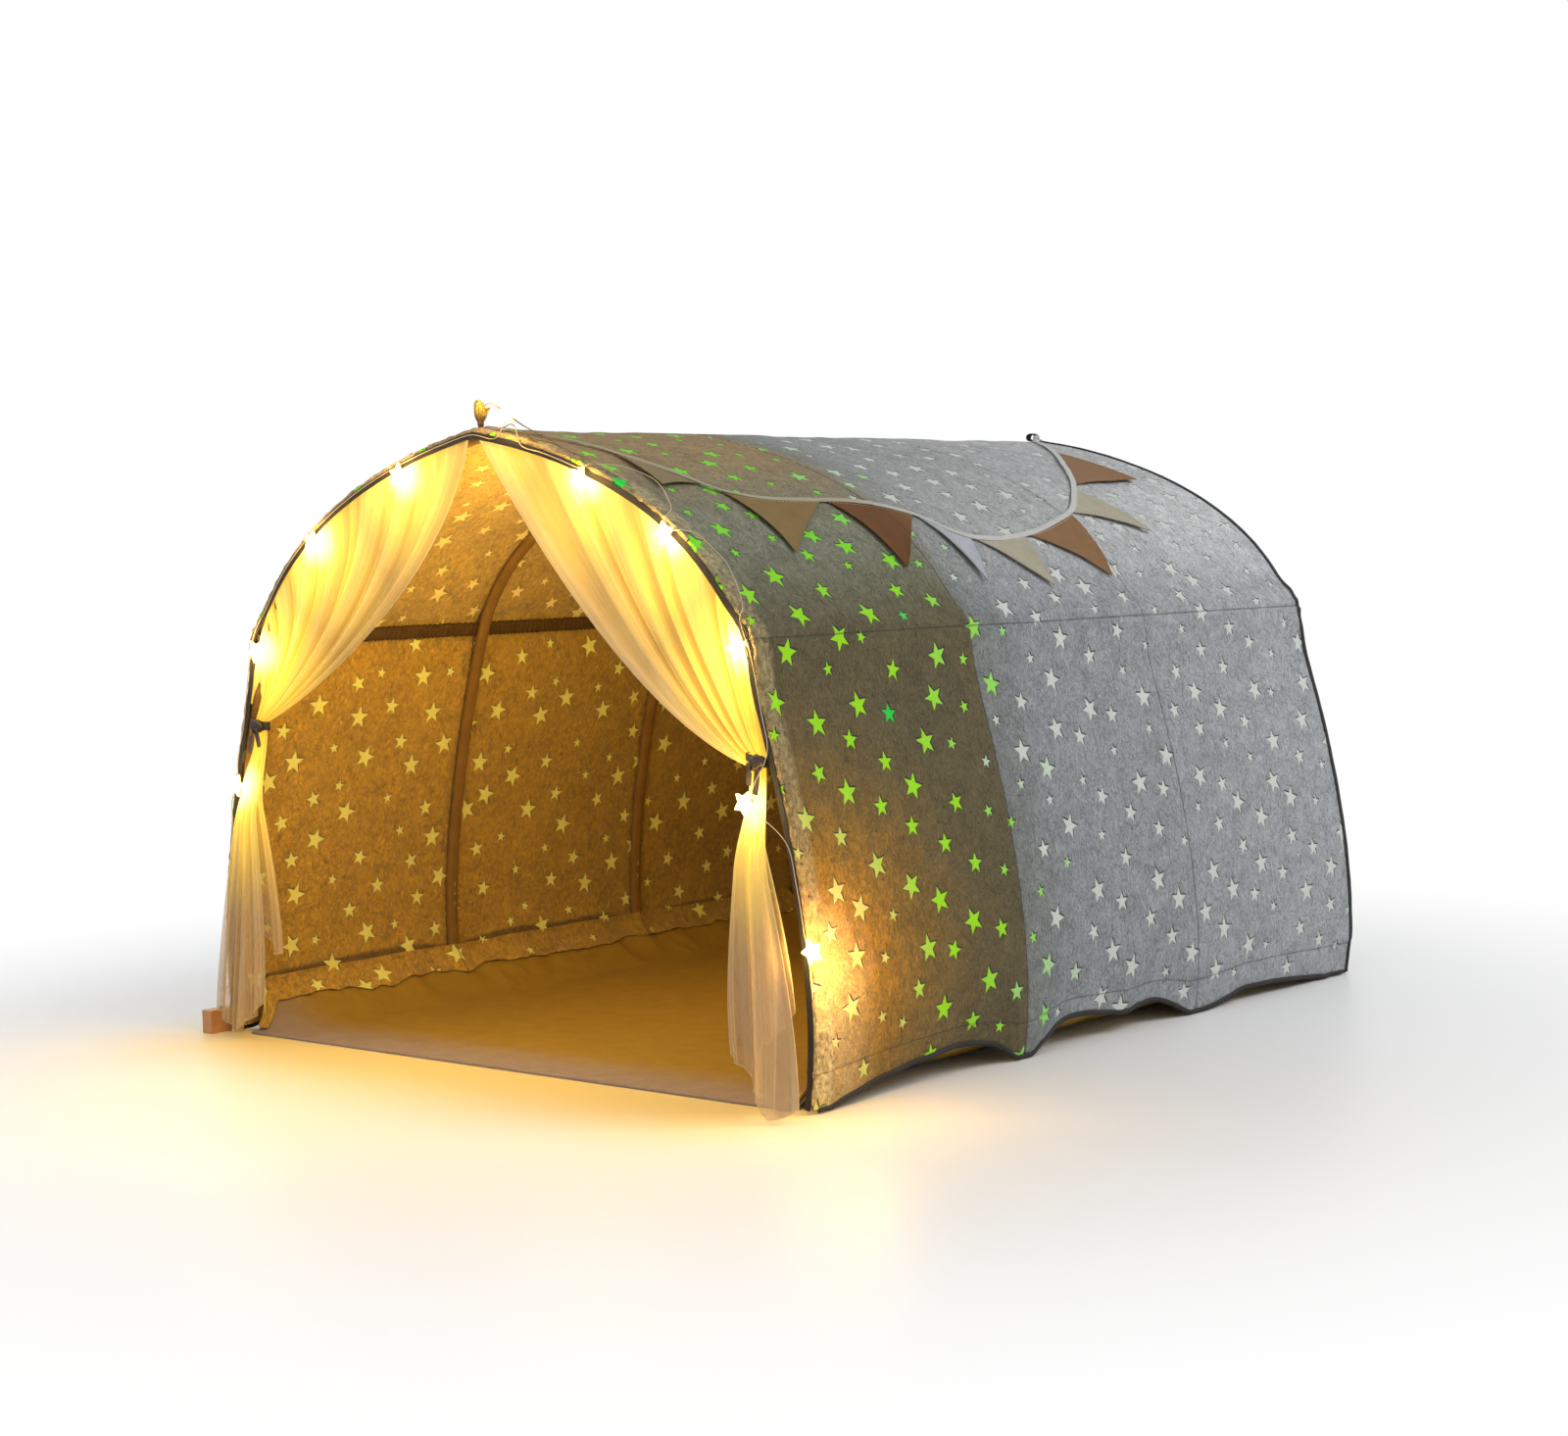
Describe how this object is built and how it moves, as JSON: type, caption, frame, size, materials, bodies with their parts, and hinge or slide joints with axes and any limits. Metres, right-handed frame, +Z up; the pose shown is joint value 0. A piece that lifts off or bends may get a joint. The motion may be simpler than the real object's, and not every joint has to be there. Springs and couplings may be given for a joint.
{
  "type": "bunk bed tent",
  "caption": "Arched fleece tunnel tent on bent hoops, with gathered sheer curtains at its open mouth, felt bunting and a star light string run from a small battery box.",
  "frame": {"origin": "middle of the floor sheet's underside, on the surface the tent stands on; the tunnel cloth runs the same length to front and rear of it", "axes": "+Z up, +Y along the tunnel from the open mouth towards the closed rear, +X towards the side that carries the bunting"},
  "size_m": [1.0344, 1.166, 0.7853],
  "materials": {
    "fleece": "short brushed fleece, blue-grey, with scattered cream stars",
    "sleeve_cloth": "lining cloth",
    "eave_cloth": "gathered dark cloth",
    "binding": "black woven binding tape",
    "floor_cloth": "plain woven sheet",
    "tulle": "sheer net",
    "ribbon": "black ribbon",
    "gold_ribbon": "thin ribbon",
    "tape": "white cotton tape",
    "felt_white": "felt, off-white",
    "felt_beige": "felt, beige",
    "felt_brown": "felt, brown",
    "pole": "bent fibre rod",
    "pole_elbow": "moulded elbow",
    "star_lamp": "moulded lamp, lit warm",
    "wire": "enamelled wire",
    "box_plastic": "moulded box",
    "switch_plastic": "moulded slider",
    "battery": "plain cell can"
  },
  "bodies": {
    "tent": {"hoop_1_rod_left": "pole", "hoop_1_rod_right": "pole", "hoop_1_ridge_elbow": "pole_elbow", "hoop_1_sleeve": "sleeve_cloth", "hoop_2_rod_left": "pole", "hoop_2_rod_right": "pole", "hoop_2_ridge_elbow": "pole_elbow", "hoop_2_sleeve": "sleeve_cloth", "hoop_3_rod_left": "pole", "hoop_3_rod_right": "pole", "hoop_3_ridge_elbow": "pole_elbow", "hoop_3_sleeve": "sleeve_cloth", "hoop_4_rod_left": "pole", "hoop_4_rod_right": "pole", "hoop_4_ridge_elbow": "pole_elbow", "hoop_4_sleeve": "sleeve_cloth", "eave_pole_left": "pole", "eave_pole_right": "pole", "eave_sleeve_left": "eave_cloth", "eave_sleeve_right": "eave_cloth", "roof_panel": "fleece", "wall_panel_left": "fleece", "wall_panel_right": "fleece", "rear_panel": "fleece", "floor_sheet": "floor_cloth", "front_binding": "binding", "rear_binding": "binding", "hem_binding_left": "binding", "hem_binding_right": "binding", "curtain_left": "tulle", "curtain_right": "tulle", "curtain_tie_left": "ribbon", "curtain_tie_right": "ribbon", "ridge_ribbon": "gold_ribbon", "rear_loop": "binding", "bunting_tape": "tape", "pennant_1": "felt_white", "pennant_2": "felt_beige", "pennant_3": "felt_brown", "pennant_4": "felt_white", "pennant_5": "felt_beige", "pennant_6": "felt_brown", "pennant_7": "felt_beige", "pennant_8": "felt_brown", "light_wire": "wire", "light_star_1": "star_lamp", "light_star_2": "star_lamp", "light_star_3": "star_lamp", "light_star_4": "star_lamp", "light_star_5": "star_lamp", "light_star_6": "star_lamp", "light_star_7": "star_lamp", "light_star_8": "star_lamp", "light_star_9": "star_lamp", "light_star_10": "star_lamp", "battery_tray": "box_plastic", "battery_cell_lower": "battery", "battery_cell_upper": "battery"},
    "cover": {"battery_cover": "box_plastic"},
    "switch": {"light_switch": "switch_plastic"}
  },
  "joints": [
    {"name": "cover_slide", "type": "slide", "parent": "tent", "child": "cover", "axis": [0, -1, 0], "range_m": [0, 0.045]},
    {"name": "switch_slide", "type": "slide", "parent": "tent", "child": "switch", "axis": [0, 1, 0], "range_m": [0, 0.004]}
  ]
}
